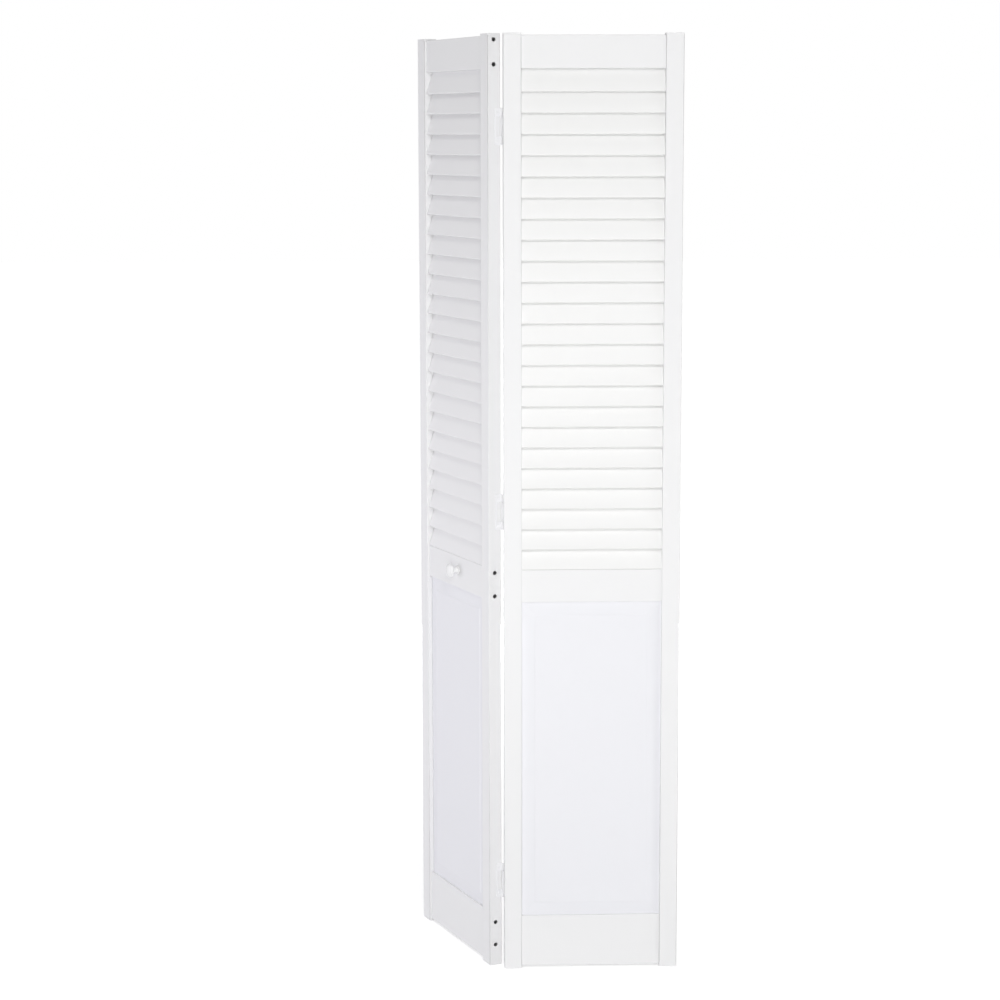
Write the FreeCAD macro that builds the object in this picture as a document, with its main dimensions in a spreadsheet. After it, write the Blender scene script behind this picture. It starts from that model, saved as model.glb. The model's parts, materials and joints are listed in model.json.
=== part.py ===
import FreeCAD, Part
import math
import os
import Sketcher

# Bifold closet door: two hollow moulded leaves, louvred above and panelled below, hung on each other
# by three non-mortise hinges. The left leaf leads and carries the knob; the right leaf is the pivot
# leaf. The origin is on the floor under the bottom pivot bore, +Z up, the show faces look to -Y.

doc = FreeCAD.newDocument("bifold_closet_door")

# Driving dimensions in millimetres and degrees, one named cell each.
dimensions = {
    "door_height": 2000.0,
    "leaf_width": 374.65,
    "leaf_thickness": 28.6,
    "fold_angle": 67.6,
    "hinge_gap": 3.0,
    "hinge_setback": 2.85,
    # hollow stiles and the plugs that close them
    "stile_width": 38.1,
    "stile_wall": 3.0,
    "stile_bevel": 1.2,
    "cap_flange": 4.0,
    "cap_clearance": 0.08,
    "leg_length": 14.0,
    "leg_thickness": 2.0,
    "bored_plug_length": 28.0,
    "pivot_bore": 9.52,
    "head_room": 0.6,
    # hollow rails between the stiles
    "rail_recess": 5.0,
    "rail_wall": 2.5,
    "rail_bevel": 0.8,
    "top_rail_height": 68.0,
    "lock_rail_height": 69.6,
    "bottom_rail_height": 113.0,
    "panel_opening_height": 691.7,
    "boss_height": 8.0,
    "screw_offset": 25.4,
    "bottom_screws_up": 66.8,
    # screws that draw the stiles onto the rails
    "rail_screw_shank": 4.0,
    "rail_screw_length": 38.0,
    "rail_screw_flats": 7.0,
    "rail_screw_head_height": 2.8,
    "rail_screw_access": 9.0,
    "screw_clearance": 0.05,
    # louvre
    "slat_count": 24,
    "slats_per_set": 3,
    "slat_width": 49.0,
    "slat_thickness": 5.0,
    "slat_tilt": 18.0,
    "slat_bevel": 1.3,
    "slat_insert": 8.0,
    "slat_clearance": 0.05,
    "slat_gap_below": 0.7,
    "slat_gap_above": 2.9,
    # raised panel, its tongue let into grooves all round
    "tongue_thickness": 8.0,
    "tongue_depth": 4.0,
    "groove_clearance": 0.05,
    "field_thickness": 14.6,
    "field_step": 0.8,
    "bevel_width": 24.0,
    "panel_border": 4.0,
    # hinges
    "hinge_height": 76.2,
    "hinge_from_end": 190.5,
    "hinge_plate": 1.6,
    "plate_cover": 13.5,
    "plate_web": 3.6,
    "plate_corner": 2.0,
    "inner_height": 41.2,
    "knuckle_gap": 0.4,
    "knuckle_diameter": 6.0,
    "pin_diameter": 3.0,
    "pin_clearance": 0.05,
    "hinge_screw_shank": 2.9,
    "hinge_screw_head": 5.2,
    "hinge_screw_head_height": 1.0,
    "hinge_screw_length": 13.0,
    "hinge_screw_line": 6.8,
    "inner_screw_spacing": 24.0,
    # knob and the machine screw behind it
    "knob_from_hinge": 178.0,
    "knob_lift": 4.5,
    "knob_base_diameter": 20.0,
    "knob_base_height": 2.4,
    "knob_neck_diameter": 13.0,
    "knob_neck_end": 12.0,
    "knob_diameter": 31.0,
    "knob_rim": 17.0,
    "knob_rim_height": 2.8,
    "knob_face_diameter": 21.0,
    "knob_projection": 25.0,
    "knob_screw_shank": 4.0,
    "knob_screw_head": 8.4,
    "knob_screw_head_height": 2.0,
    "knob_screw_grip": 10.0,
}

sheet = doc.addObject("Spreadsheet::Sheet", "sizes")
for row, (alias, number) in enumerate(dimensions.items(), start=1):
    sheet.set("A%d" % row, alias)
    sheet.set("B%d" % row, str(number))
    sheet.setAlias("B%d" % row, alias)
doc.recompute()


def size(formula):
    """Number that a formula on the sheet comes to."""
    return float(sheet.evalExpression(formula.replace("sizes.", "")))


# Lengths that follow from the driving ones, as formulas on the sheet.
railLength = "(sizes.leaf_width - 2 * sizes.stile_width)"
railThickness = "(sizes.leaf_thickness - 2 * sizes.rail_recess)"
stileTop = "(sizes.door_height - sizes.cap_flange)"
panelBottom = "(sizes.cap_flange + sizes.bottom_rail_height)"
lockBottom = "(" + panelBottom + " + sizes.panel_opening_height)"
louvreBottom = "(" + lockBottom + " + sizes.lock_rail_height)"
louvreTop = "(" + stileTop + " - sizes.top_rail_height)"
hollowWidth = "(sizes.stile_width - 2 * sizes.stile_wall)"
hollowThickness = "(sizes.leaf_thickness - 2 * sizes.stile_wall)"
plugWidth = "(" + hollowWidth + " - 2 * sizes.cap_clearance)"
plugThickness = "(" + hollowThickness + " - 2 * sizes.cap_clearance)"
screwHole = "(sizes.rail_screw_shank + 2 * sizes.screw_clearance)"
innerWall = "((sizes.stile_width - sizes.stile_wall) / 2)"
grooveWidth = "(sizes.tongue_thickness + 2 * sizes.groove_clearance)"
slatRise = ("(sizes.slat_width * cos(sizes.slat_tilt * 1deg)"
            " + (sizes.slat_thickness - 2 * sizes.slat_bevel) * sin(sizes.slat_tilt * 1deg))")
slatPitch = ("((" + louvreTop + " - " + louvreBottom + " - sizes.slat_gap_below"
             " - sizes.slat_gap_above - " + slatRise + ") / (sizes.slat_count - 1))")
firstSlat = "(" + louvreBottom + " + sizes.slat_gap_below + " + slatRise + " / 2)"
windowHeight = "(sizes.inner_height + 2 * sizes.knuckle_gap)"
knuckleHeight = "((sizes.hinge_height - " + windowHeight + ") / 2)"
axisDepth = "(sizes.leaf_thickness / 2 + sizes.hinge_setback)"
knobHeight = "(" + lockBottom + " + sizes.lock_rail_height / 2 + sizes.knob_lift)"
knobScrewHole = "(sizes.knob_screw_shank + 2 * sizes.screw_clearance)"
hingeScrewDepth = "(" + axisDepth + " - sizes.hinge_setback - sizes.hinge_screw_line)"
hingeScrewHole = "(sizes.hinge_screw_shank + 2 * sizes.screw_clearance)"

# Small holes and fasteners repeat so often that they are drawn with this many sides.
holeSides = 8

# Middle height of each rail, of its pair of screws and of each hinge.
railCentres = {
    "top_rail": "(" + stileTop + " - sizes.top_rail_height / 2)",
    "lock_rail": "(" + lockBottom + " + sizes.lock_rail_height / 2)",
    "bottom_rail": "(sizes.cap_flange + sizes.bottom_rail_height / 2)",
}
screwCentres = {
    "top_rail": railCentres["top_rail"],
    "lock_rail": railCentres["lock_rail"],
    "bottom_rail": "(sizes.cap_flange + sizes.bottom_screws_up)",
}
hingeCentres = {
    "lower": "sizes.hinge_from_end",
    "middle": "(sizes.door_height / 2)",
    "upper": "(sizes.door_height - sizes.hinge_from_end)",
}
# Which way each leaf runs from the hinge axis: the pivot leaf to +X, the lead leaf to -X.
sides = {"pivot": 1, "lead": -1}
parts = []


# ---------------------------------------------------------------- placing
def leafFrame(leaf):
    """Frame of a leaf: the hinge axis at floor level, turned by the fold for the lead leaf."""
    axis = FreeCAD.Vector(-(size("sizes.hinge_gap") / 2 + size("sizes.leaf_width")
                            - size("sizes.stile_width") / 2), size(axisDepth), 0)
    turn = -size("sizes.fold_angle") if leaf == "lead" else 0.0
    return FreeCAD.Placement(axis, FreeCAD.Rotation(FreeCAD.Vector(0, 0, 1), turn))


def seat(part, leaf, along, depth="0", height="0"):
    """Puts a part on its leaf: its run from the hinge axis, its depth from mid-thickness, its height."""
    spot = FreeCAD.Vector(sides[leaf] * size(along), size(depth) - size(axisDepth), size(height))
    part.Placement = leafFrame(leaf).multiply(FreeCAD.Placement(spot, FreeCAD.Rotation()))
    parts.append(part)


# ---------------------------------------------------------------- sketching
def originFeature(body, role):
    return next(item for item in body.Origin.OriginFeatures if item.Role == role)


def addBody(label):
    body = doc.addObject("PartDesign::Body", label)
    body.Label = label
    return body


def addSketch(body, name, plane, offset=("0", "0", "0"), turn=None):
    """Empty sketch on one of the body's own planes, moved in its own axes by formulas."""
    sketch = body.newObject("Sketcher::SketchObject", name)
    sketch.AttachmentSupport = [(originFeature(body, plane), "")]
    sketch.MapMode = "FlatFace"
    for axis, formula in zip("xyz", offset):
        sketch.setExpression(".AttachmentOffset.Base." + axis, formula)
    if turn:
        sketch.setExpression(".AttachmentOffset.Rotation.Angle", turn)
    return sketch


def bind(sketch, kind, places, formula):
    """Dimension of a sketch that follows a formula."""
    index = sketch.addConstraint(Sketcher.Constraint(kind, *places, size(formula)))
    sketch.setExpression("Constraints[%d]" % index, formula)


def addRectangle(sketch, width, height, up="0"):
    """Rectangle with its middle on the sketch's vertical axis."""
    x = size(width) / 2
    y = size(height) / 2
    rise = FreeCAD.Vector(0, size(up), 0)
    corners = [FreeCAD.Vector(*spot, 0) + rise for spot in ((-x, -y), (x, -y), (x, y), (-x, y))]
    lines = [Part.LineSegment(corners[i], corners[(i + 1) % 4]) for i in range(4)]
    first = sketch.addGeometry(lines, False)[0]
    for i in range(4):
        sketch.addConstraint(Sketcher.Constraint("Coincident", first + i, 2, first + (i + 1) % 4, 1))
        sketch.addConstraint(Sketcher.Constraint(("Horizontal", "Vertical")[i % 2], first + i))
    middle = (-1, 1)
    if up != "0":
        point = sketch.addGeometry(Part.Point(rise), True)
        sketch.addConstraint(Sketcher.Constraint("PointOnObject", point, 1, -2))
        bind(sketch, "DistanceY", (-1, 1, point, 1), up)
        middle = (point, 1)
    sketch.addConstraint(Sketcher.Constraint("Symmetric", first, 1, first + 1, 2, *middle))
    bind(sketch, "DistanceX", (first, 1, first, 2), width)
    bind(sketch, "DistanceY", (first + 1, 1, first + 1, 2), height)


def addCircle(sketch, diameter, up="0"):
    """Circle on the sketch's vertical axis."""
    centre = FreeCAD.Vector(0, size(up), 0)
    circle = sketch.addGeometry(Part.Circle(centre, FreeCAD.Vector(0, 0, 1), size(diameter) / 2), False)
    if up == "0":
        sketch.addConstraint(Sketcher.Constraint("Coincident", circle, 3, -1, 1))
    else:
        sketch.addConstraint(Sketcher.Constraint("PointOnObject", circle, 3, -2))
        bind(sketch, "DistanceY", (-1, 1, circle, 3), up)
    bind(sketch, "Diameter", (circle,), diameter)


def addPolygon(sketch, across, up="0"):
    """Many-sided small hole on the sketch's vertical axis, measured from corner to corner."""
    centre = FreeCAD.Vector(0, size(up), 0)
    radius = size(across) / 2
    turns = [2 * math.pi * i / holeSides for i in range(holeSides)]
    corners = [centre + FreeCAD.Vector(radius * math.cos(a), radius * math.sin(a), 0) for a in turns]
    lines = [Part.LineSegment(corners[i], corners[(i + 1) % holeSides]) for i in range(holeSides)]
    first = sketch.addGeometry(lines, False)[0]
    ring = sketch.addGeometry(Part.Circle(centre, FreeCAD.Vector(0, 0, 1), radius), True)
    for i in range(holeSides):
        sketch.addConstraint(Sketcher.Constraint("Coincident", first + i, 2, first + (i + 1) % holeSides, 1))
        sketch.addConstraint(Sketcher.Constraint("PointOnObject", first + i, 1, ring))
        if i:
            sketch.addConstraint(Sketcher.Constraint("Equal", first, first + i))
    if up == "0":
        sketch.addConstraint(Sketcher.Constraint("Coincident", ring, 3, -1, 1))
    else:
        sketch.addConstraint(Sketcher.Constraint("PointOnObject", ring, 3, -2))
        bind(sketch, "DistanceY", (-1, 1, ring, 3), up)
    sketch.addConstraint(Sketcher.Constraint("Horizontal", ring, 3, first, 1))
    bind(sketch, "Diameter", (ring,), across)


# ---------------------------------------------------------------- features
def addPad(body, name, sketch, length, symmetric=False):
    pad = body.newObject("PartDesign::Pad", name)
    pad.Profile = sketch
    pad.setExpression("Length", length)
    if symmetric:
        pad.SideType = "Symmetric"
    body.Tip = pad
    return pad


def addPocket(body, name, sketch, length):
    """Cut to both sides of its sketch, so that it never points away from the solid."""
    pocket = body.newObject("PartDesign::Pocket", name)
    pocket.Profile = sketch
    pocket.SideType = "Symmetric"
    pocket.setExpression("Length", length)
    body.Tip = pocket
    return pocket


def addRound(body, kind, name, base, measure, formula, chosen):
    """Fillet or chamfer on those edges of the last feature that the test picks."""
    doc.recompute()
    edges = ["Edge%d" % (i + 1) for i, edge in enumerate(base.Shape.Edges) if chosen(edge)]
    dressing = body.newObject("PartDesign::" + kind, name)
    dressing.Base = (base, edges)
    dressing.setExpression(measure, formula)
    body.Tip = dressing
    return dressing


def addPattern(body, name, feature, spacing, count):
    """Row of a feature up the body."""
    pattern = body.newObject("PartDesign::LinearPattern", name)
    pattern.Originals = [feature]
    pattern.Direction = (originFeature(body, "Z_Axis"), [""])
    pattern.setExpression("Length", spacing + " * (" + count + " - 1)")
    pattern.setExpression("Occurrences", count)
    body.Tip = pattern
    return pattern


def runsAlong(axis):
    """Test for straight edges parallel to an axis."""
    def test(edge):
        if not isinstance(edge.Curve, (Part.Line, Part.LineSegment)):
            return False
        run = edge.Vertexes[-1].Point - edge.Vertexes[0].Point
        return abs(getattr(run, axis)) > 0.999 * run.Length
    return test


# ---------------------------------------------------------------- stiles
def makeStile(leaf, place, along, inward):
    """Hollow upright, drawn with its slotted wall at -X. inward is the way to the rails along X."""
    body = addBody(leaf + "_" + place + "_stile")
    outline = addSketch(body, body.Label + "_outline", "XY_Plane", ("0", "0", "sizes.cap_flange"))
    addRectangle(outline, "sizes.stile_width", "sizes.leaf_thickness")
    bar = addPad(body, body.Label + "_bar", outline, "sizes.door_height - 2 * sizes.cap_flange")
    addRound(body, "Chamfer", body.Label + "_corners", bar, "Size", "sizes.stile_bevel", runsAlong("z"))
    hollow = addSketch(body, body.Label + "_hollow", "XY_Plane", ("0", "0", "sizes.door_height / 2"))
    addRectangle(hollow, hollowWidth, hollowThickness)
    addPocket(body, body.Label + "_bore", hollow, "sizes.door_height + 2")

    # The wall towards the rails: a slanted slot for each slat, the panel groove and the screw slots.
    wall = "-" + innerWall
    slot = addSketch(body, body.Label + "_slot", "YZ_Plane", ("0", firstSlat, wall),
                     "%d * sizes.slat_tilt * 1deg" % inward)
    addRectangle(slot, "sizes.slat_thickness + 2 * sizes.slat_clearance",
                 "sizes.slat_width + 2 * sizes.slat_clearance")
    slotCut = addPocket(body, body.Label + "_slot_cut", slot, "sizes.stile_wall + 1")
    addPattern(body, body.Label + "_slots", slotCut, slatPitch, "sizes.slat_count")
    groove = addSketch(body, body.Label + "_groove", "YZ_Plane",
                       ("0", panelBottom + " + sizes.panel_opening_height / 2", wall))
    addRectangle(groove, grooveWidth, "sizes.panel_opening_height + 2 * sizes.tongue_depth")
    addPocket(body, body.Label + "_groove_cut", groove, "sizes.stile_wall + 1")
    holes = addSketch(body, body.Label + "_screw_slots", "YZ_Plane", ("0", "0", wall))
    access = addSketch(body, body.Label + "_access", "YZ_Plane", ("0", "0", innerWall))
    for centre in screwCentres.values():
        for sign in (" - ", " + "):
            addRectangle(holes, screwHole, screwHole, centre + sign + "sizes.screw_offset")
            addPolygon(access, "sizes.rail_screw_access", centre + sign + "sizes.screw_offset")
    addPocket(body, body.Label + "_screw_slots_cut", holes, "sizes.stile_wall + 1")
    addPocket(body, body.Label + "_access_cut", access, "sizes.stile_wall + 1")

    if place == "hinge":
        screws = addSketch(body, body.Label + "_hinge_slots", "YZ_Plane",
                           ("%d * %s" % (-inward, hingeScrewDepth), "0", innerWall))
        for height in hingeScrewHeights(leaf):
            addRectangle(screws, hingeScrewHole, hingeScrewHole, height)
        addPocket(body, body.Label + "_hinge_slots_cut", screws, "sizes.stile_wall + 1")
    seat(body, leaf, along)
    if inward > 0:
        turn = FreeCAD.Rotation(FreeCAD.Vector(0, 0, 1), 180)
        body.Placement = body.Placement.multiply(FreeCAD.Placement(FreeCAD.Vector(), turn))


def hingeScrewHeights(leaf):
    """Heights of a leaf's hinge screws: in the lobes of the outer plates, inside the inner ones."""
    reach = {"pivot": "sizes.inner_screw_spacing / 2",
             "lead": "(" + windowHeight + " + " + knuckleHeight + ") / 2"}[leaf]
    return [centre + sign + reach for centre in hingeCentres.values() for sign in (" - ", " + ")]


def makeCap(leaf, place, end, along, inward):
    """Moulded cap over the stile's end. The outer stile's has a bored plug, with a groove that clears
    the rail screws' heads on the side towards the rails; the hinge stile's has two legs."""
    body = addBody("%s_%s_%s_cap" % (leaf, place, end))
    plate = addSketch(body, body.Label + "_plate", "XY_Plane")
    addRectangle(plate, "sizes.stile_width", "sizes.leaf_thickness")
    flange = addPad(body, body.Label + "_flange", plate, "sizes.cap_flange")
    addRound(body, "Chamfer", body.Label + "_corners", flange, "Size", "sizes.stile_bevel",
             runsAlong("z"))
    bored = place == "outer"
    length = "sizes.bored_plug_length" if bored else "sizes.leg_length"
    section = addSketch(body, body.Label + "_section", "XY_Plane", ("0", "0", "sizes.cap_flange"))
    addRectangle(section, plugWidth, plugThickness)
    addPad(body, body.Label + "_plug", section, length)
    plugEnd = "sizes.cap_flange + " + length
    if bored:
        groove = addSketch(body, body.Label + "_head_groove", "XY_Plane",
                           ("%d * %s / 2" % (inward, hollowWidth), "0", plugEnd))
        addRectangle(groove, "2 * (sizes.rail_screw_head_height + sizes.head_room)",
                     "2 * (sizes.rail_screw_flats / sqrt(3) + sizes.head_room)")
        addPocket(body, body.Label + "_head_groove_cut", groove, "2 * " + length)
        mouth = addSketch(body, body.Label + "_mouth", "XY_Plane")
        addCircle(mouth, "sizes.pivot_bore")
        addPocket(body, body.Label + "_pivot_bore", mouth, "2 * (" + plugEnd + ") + 2")
    else:
        between = addSketch(body, body.Label + "_between_legs", "XY_Plane", ("0", "0", plugEnd))
        addRectangle(between, "sizes.stile_width", plugThickness + " - 2 * sizes.leg_thickness")
        addPocket(body, body.Label + "_between_legs_cut", between, "2 * " + length)
    seat(body, leaf, along)
    if end == "top":
        flip = FreeCAD.Placement(FreeCAD.Vector(0, 0, size("sizes.door_height")),
                                 FreeCAD.Rotation(FreeCAD.Vector(1, 0, 0), 180))
        body.Placement = body.Placement.multiply(flip)


# ---------------------------------------------------------------- rails
def makeRail(leaf, name, height, along, groove=None, knobHole=False):
    """Hollow crosspiece with two square screw ports. groove is the side that takes the panel."""
    body = addBody(leaf + "_" + name)
    centre = railCentres[name]
    outline = addSketch(body, body.Label + "_outline", "YZ_Plane", ("0", centre, "0"))
    addRectangle(outline, railThickness, height)
    bar = addPad(body, body.Label + "_bar", outline, railLength, True)
    addRound(body, "Chamfer", body.Label + "_corners", bar, "Size", "sizes.rail_bevel", runsAlong("x"))
    hollow = addSketch(body, body.Label + "_hollow", "YZ_Plane", ("0", centre, "0"))
    addRectangle(hollow, railThickness + " - 2 * sizes.rail_wall", height + " - 2 * sizes.rail_wall")
    addPocket(body, body.Label + "_bore", hollow, railLength + " + 2")
    for place, sign in (("lower", " - "), ("upper", " + ")):
        spot = ("0", screwCentres[name] + sign + "sizes.screw_offset", "0")
        boss = addSketch(body, body.Label + "_" + place + "_boss", "YZ_Plane", spot)
        addRectangle(boss, railThickness + " - sizes.rail_wall", "sizes.boss_height")
        addPad(body, body.Label + "_" + place + "_boss_bar", boss, railLength, True)
        port = addSketch(body, body.Label + "_" + place + "_port", "YZ_Plane", spot)
        addRectangle(port, screwHole, screwHole)
        addPocket(body, body.Label + "_" + place + "_port_cut", port, railLength + " + 2")
    if groove:
        edge = centre + {"top": " + ", "bottom": " - "}[groove] + height + " / 2"
        channel = addSketch(body, body.Label + "_groove", "YZ_Plane", ("0", edge, "0"))
        addRectangle(channel, grooveWidth, "2 * sizes.rail_wall + 1")
        addPocket(body, body.Label + "_groove_cut", channel, railLength + " + 2")
    if knobHole:
        through = addSketch(body, body.Label + "_knob_hole", "XZ_Plane",
                            ("%d * (sizes.knob_from_hinge - %s)" % (sides[leaf], along), knobHeight, "0"))
        addPolygon(through, knobScrewHole)
        addPocket(body, body.Label + "_knob_hole_cut", through, "2 * sizes.leaf_thickness")
    seat(body, leaf, along)


# ---------------------------------------------------------------- louvre
def makeSlats(leaf, group, along):
    """A few neighbouring slats, each with its ends in the slots of both stiles."""
    body = addBody("%s_slats_%d" % (leaf, group + 1))
    lowest = "%s + %d * sizes.slats_per_set * %s" % (firstSlat, group, slatPitch)
    section = addSketch(body, body.Label + "_section", "YZ_Plane", ("0", lowest, "0"),
                        "-sizes.slat_tilt * 1deg")
    addRectangle(section, "sizes.slat_thickness", "sizes.slat_width")
    slat = addPad(body, body.Label + "_slat", section, railLength + " + 2 * sizes.slat_insert", True)
    eased = addRound(body, "Chamfer", body.Label + "_edges", slat, "Size", "sizes.slat_bevel",
                     runsAlong("x"))
    pattern = addPattern(body, body.Label + "_row", slat, slatPitch, "sizes.slats_per_set")
    pattern.Originals = [slat, eased]
    seat(body, leaf, along)


# ---------------------------------------------------------------- raised panel
def makePanel(leaf, along):
    """Board with a raised field and bevelled margins on both faces, its tongue in the grooves."""
    body = addBody(leaf + "_panel")
    middle = panelBottom + " + sizes.panel_opening_height / 2"
    margin = "(sizes.panel_border + sizes.bevel_width)"
    board = addSketch(body, body.Label + "_board", "XZ_Plane", ("0", middle, "0"))
    addRectangle(board, railLength + " + 2 * sizes.tongue_depth",
                 "sizes.panel_opening_height + 2 * sizes.tongue_depth")
    addPad(body, body.Label + "_tongue", board, "sizes.tongue_thickness", True)
    slope = "sizes.field_thickness / 2 - sizes.field_step - sizes.tongue_thickness / 2"
    for face, sign in (("front", 1), ("back", -1)):
        foot = addSketch(body, body.Label + "_" + face + "_foot", "XZ_Plane",
                         ("0", middle, "%d * sizes.tongue_thickness / 2" % sign))
        addRectangle(foot, railLength + " - 2 * sizes.panel_border",
                     "sizes.panel_opening_height - 2 * sizes.panel_border")
        bevel = addPad(body, body.Label + "_" + face + "_bevel", foot, slope)
        bevel.Reversed = sign < 0
        bevel.setExpression("TaperAngle", "-atan(sizes.bevel_width / (" + slope + "))")
    field = addSketch(body, body.Label + "_field", "XZ_Plane", ("0", middle, "0"))
    addRectangle(field, railLength + " - 2 * " + margin, "sizes.panel_opening_height - 2 * " + margin)
    addPad(body, body.Label + "_field_pad", field, "sizes.field_thickness", True)
    seat(body, leaf, along)


# ---------------------------------------------------------------- hinges
def addKnuckle(body, name, start, length):
    ring = addSketch(body, body.Label + "_" + name, "XY_Plane", ("0", "0", start))
    addCircle(ring, "sizes.knuckle_diameter")
    addPad(body, body.Label + "_" + name + "_barrel", ring, length)


def makeHingePlate(place, outer):
    """Half of a non-mortise hinge: the outer plate has the window that the inner one nests in."""
    body = addBody("%s_hinge_%s_plate" % (place, "outer" if outer else "inner"))
    height = "sizes.hinge_height" if outer else "sizes.inner_height"
    reach = "(sizes.hinge_setback + sizes.plate_cover)"
    if not outer:
        reach = "(" + reach + " - sizes.plate_web - sizes.knuckle_gap)"
    middle = "%d * (sizes.hinge_gap - sizes.hinge_plate) / 2" % (-1 if outer else 1)
    outline = addSketch(body, body.Label + "_outline", "YZ_Plane", ("-" + reach + " / 2", "0", middle))
    addRectangle(outline, reach, height)
    plate = addPad(body, body.Label + "_plate", outline, "sizes.hinge_plate", True)
    edge = -size(reach)
    alongX = runsAlong("x")
    addRound(body, "Chamfer", body.Label + "_corners", plate, "Size", "sizes.plate_corner",
             lambda side: alongX(side) and side.Vertexes[0].Y < edge + 0.001)
    if outer:
        window = addSketch(body, body.Label + "_window", "YZ_Plane", ("sizes.plate_web", "0", middle))
        addRectangle(window, "2 * (" + reach + ")", windowHeight)
        addPocket(body, body.Label + "_window_cut", window, "2 * sizes.hinge_plate")
        addKnuckle(body, "lower_knuckle", "-sizes.hinge_height / 2", knuckleHeight)
        addKnuckle(body, "upper_knuckle", windowHeight + " / 2", knuckleHeight)
        spread = windowHeight + " + " + knuckleHeight
    else:
        addKnuckle(body, "knuckle", "-sizes.inner_height / 2", "sizes.inner_height")
        spread = "sizes.inner_screw_spacing"
    eye = addSketch(body, body.Label + "_eye", "XY_Plane")
    addCircle(eye, "sizes.pin_diameter + 2 * sizes.pin_clearance")
    addPocket(body, body.Label + "_eye_cut", eye, "sizes.hinge_height + 2")
    for name, sign in (("lower", -1), ("upper", 1)):
        line = "-(sizes.hinge_setback + sizes.hinge_screw_line)"
        spot = (line, "%d * (%s) / 2" % (sign, spread), middle)
        hole = addSketch(body, body.Label + "_" + name + "_hole", "YZ_Plane", spot)
        addPolygon(hole, hingeScrewHole)
        addPocket(body, body.Label + "_" + name + "_hole_cut", hole, "2 * sizes.hinge_plate")
    frame = leafFrame("lead" if outer else "pivot")
    height = FreeCAD.Vector(0, 0, size(hingeCentres[place]))
    body.Placement = frame.multiply(FreeCAD.Placement(height, FreeCAD.Rotation()))
    parts.append(body)


def makeHingePin(place):
    """Pin as long as the hinge, flush with its outer knuckles."""
    body = addBody(place + "_hinge_pin")
    rod = addSketch(body, body.Label + "_rod", "XY_Plane", ("0", "0", "-sizes.hinge_height / 2"))
    addCircle(rod, "sizes.pin_diameter")
    addPad(body, body.Label + "_shank", rod, "sizes.hinge_height")
    frame = leafFrame("lead")
    height = FreeCAD.Vector(0, 0, size(hingeCentres[place]))
    body.Placement = frame.multiply(FreeCAD.Placement(height, FreeCAD.Rotation()))
    parts.append(body)


# ---------------------------------------------------------------- screws
def prism(sides, across, start, end):
    """Many-sided bar along Z, measured from corner to corner."""
    turns = [2 * math.pi * i / sides for i in range(sides + 1)]
    ring = [FreeCAD.Vector(across / 2 * math.cos(a), across / 2 * math.sin(a), start) for a in turns]
    return Part.Face(Part.makePolygon(ring)).extrude(FreeCAD.Vector(0, 0, end - start))


def pointed(shape, spot, direction):
    """Copy of a shape whose +Z is turned to a direction and moved to a spot."""
    copy = shape.copy()
    turn = FreeCAD.Rotation(FreeCAD.Vector(0, 0, 1), direction)
    copy.Placement = FreeCAD.Placement(spot, turn)
    return copy


def makeGroup(label, leaf, shapes):
    """Loose identical fasteners of one leaf, in the leaf's own frame."""
    feature = doc.addObject("Part::Feature", label)
    feature.Label = label
    feature.Shape = Part.makeCompound(shapes)
    feature.Placement = leafFrame(leaf)
    parts.append(feature)


def makeRailScrews(leaf):
    """Hex-head screws: each head bears inside a stile's inner wall, its shank runs down a port."""
    head = prism(6, 2 * size("sizes.rail_screw_flats") / math.sqrt(3),
                 -size("sizes.rail_screw_head_height"), 0)
    screw = head.fuse(prism(6, size("sizes.rail_screw_shank"), 0, size("sizes.rail_screw_length")))
    nearWall = size("sizes.hinge_gap / 2 + sizes.stile_width - sizes.stile_wall")
    farWall = size("sizes.hinge_gap / 2 + sizes.leaf_width - sizes.stile_width + sizes.stile_wall")
    depth = -size(axisDepth)
    side = sides[leaf]
    shapes = []
    for centre in screwCentres.values():
        for offset in (-size("sizes.screw_offset"), size("sizes.screw_offset")):
            height = size(centre) + offset
            for wall, way in ((nearWall, side), (farWall, -side)):
                spot = FreeCAD.Vector(side * wall, depth, height)
                shapes.append(pointed(screw, spot, FreeCAD.Vector(way, 0, 0)))
    makeGroup(leaf + "_rail_screws", leaf, shapes)


def makeHingeScrews(leaf):
    """Low-head screws on the hinge plates, through the stile's edge wall."""
    head = prism(holeSides, size("sizes.hinge_screw_head"), -size("sizes.hinge_screw_head_height"), 0)
    screw = head.fuse(prism(holeSides, size("sizes.hinge_screw_shank"), 0, size("sizes.hinge_screw_length")))
    side = sides[leaf]
    face = side * size("sizes.hinge_gap / 2 - sizes.hinge_plate")
    depth = -size("sizes.hinge_setback + sizes.hinge_screw_line")
    spots = [FreeCAD.Vector(face, depth, size(height)) for height in hingeScrewHeights(leaf)]
    makeGroup(leaf + "_hinge_screws", leaf,
              [pointed(screw, spot, FreeCAD.Vector(side, 0, 0)) for spot in spots])


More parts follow.
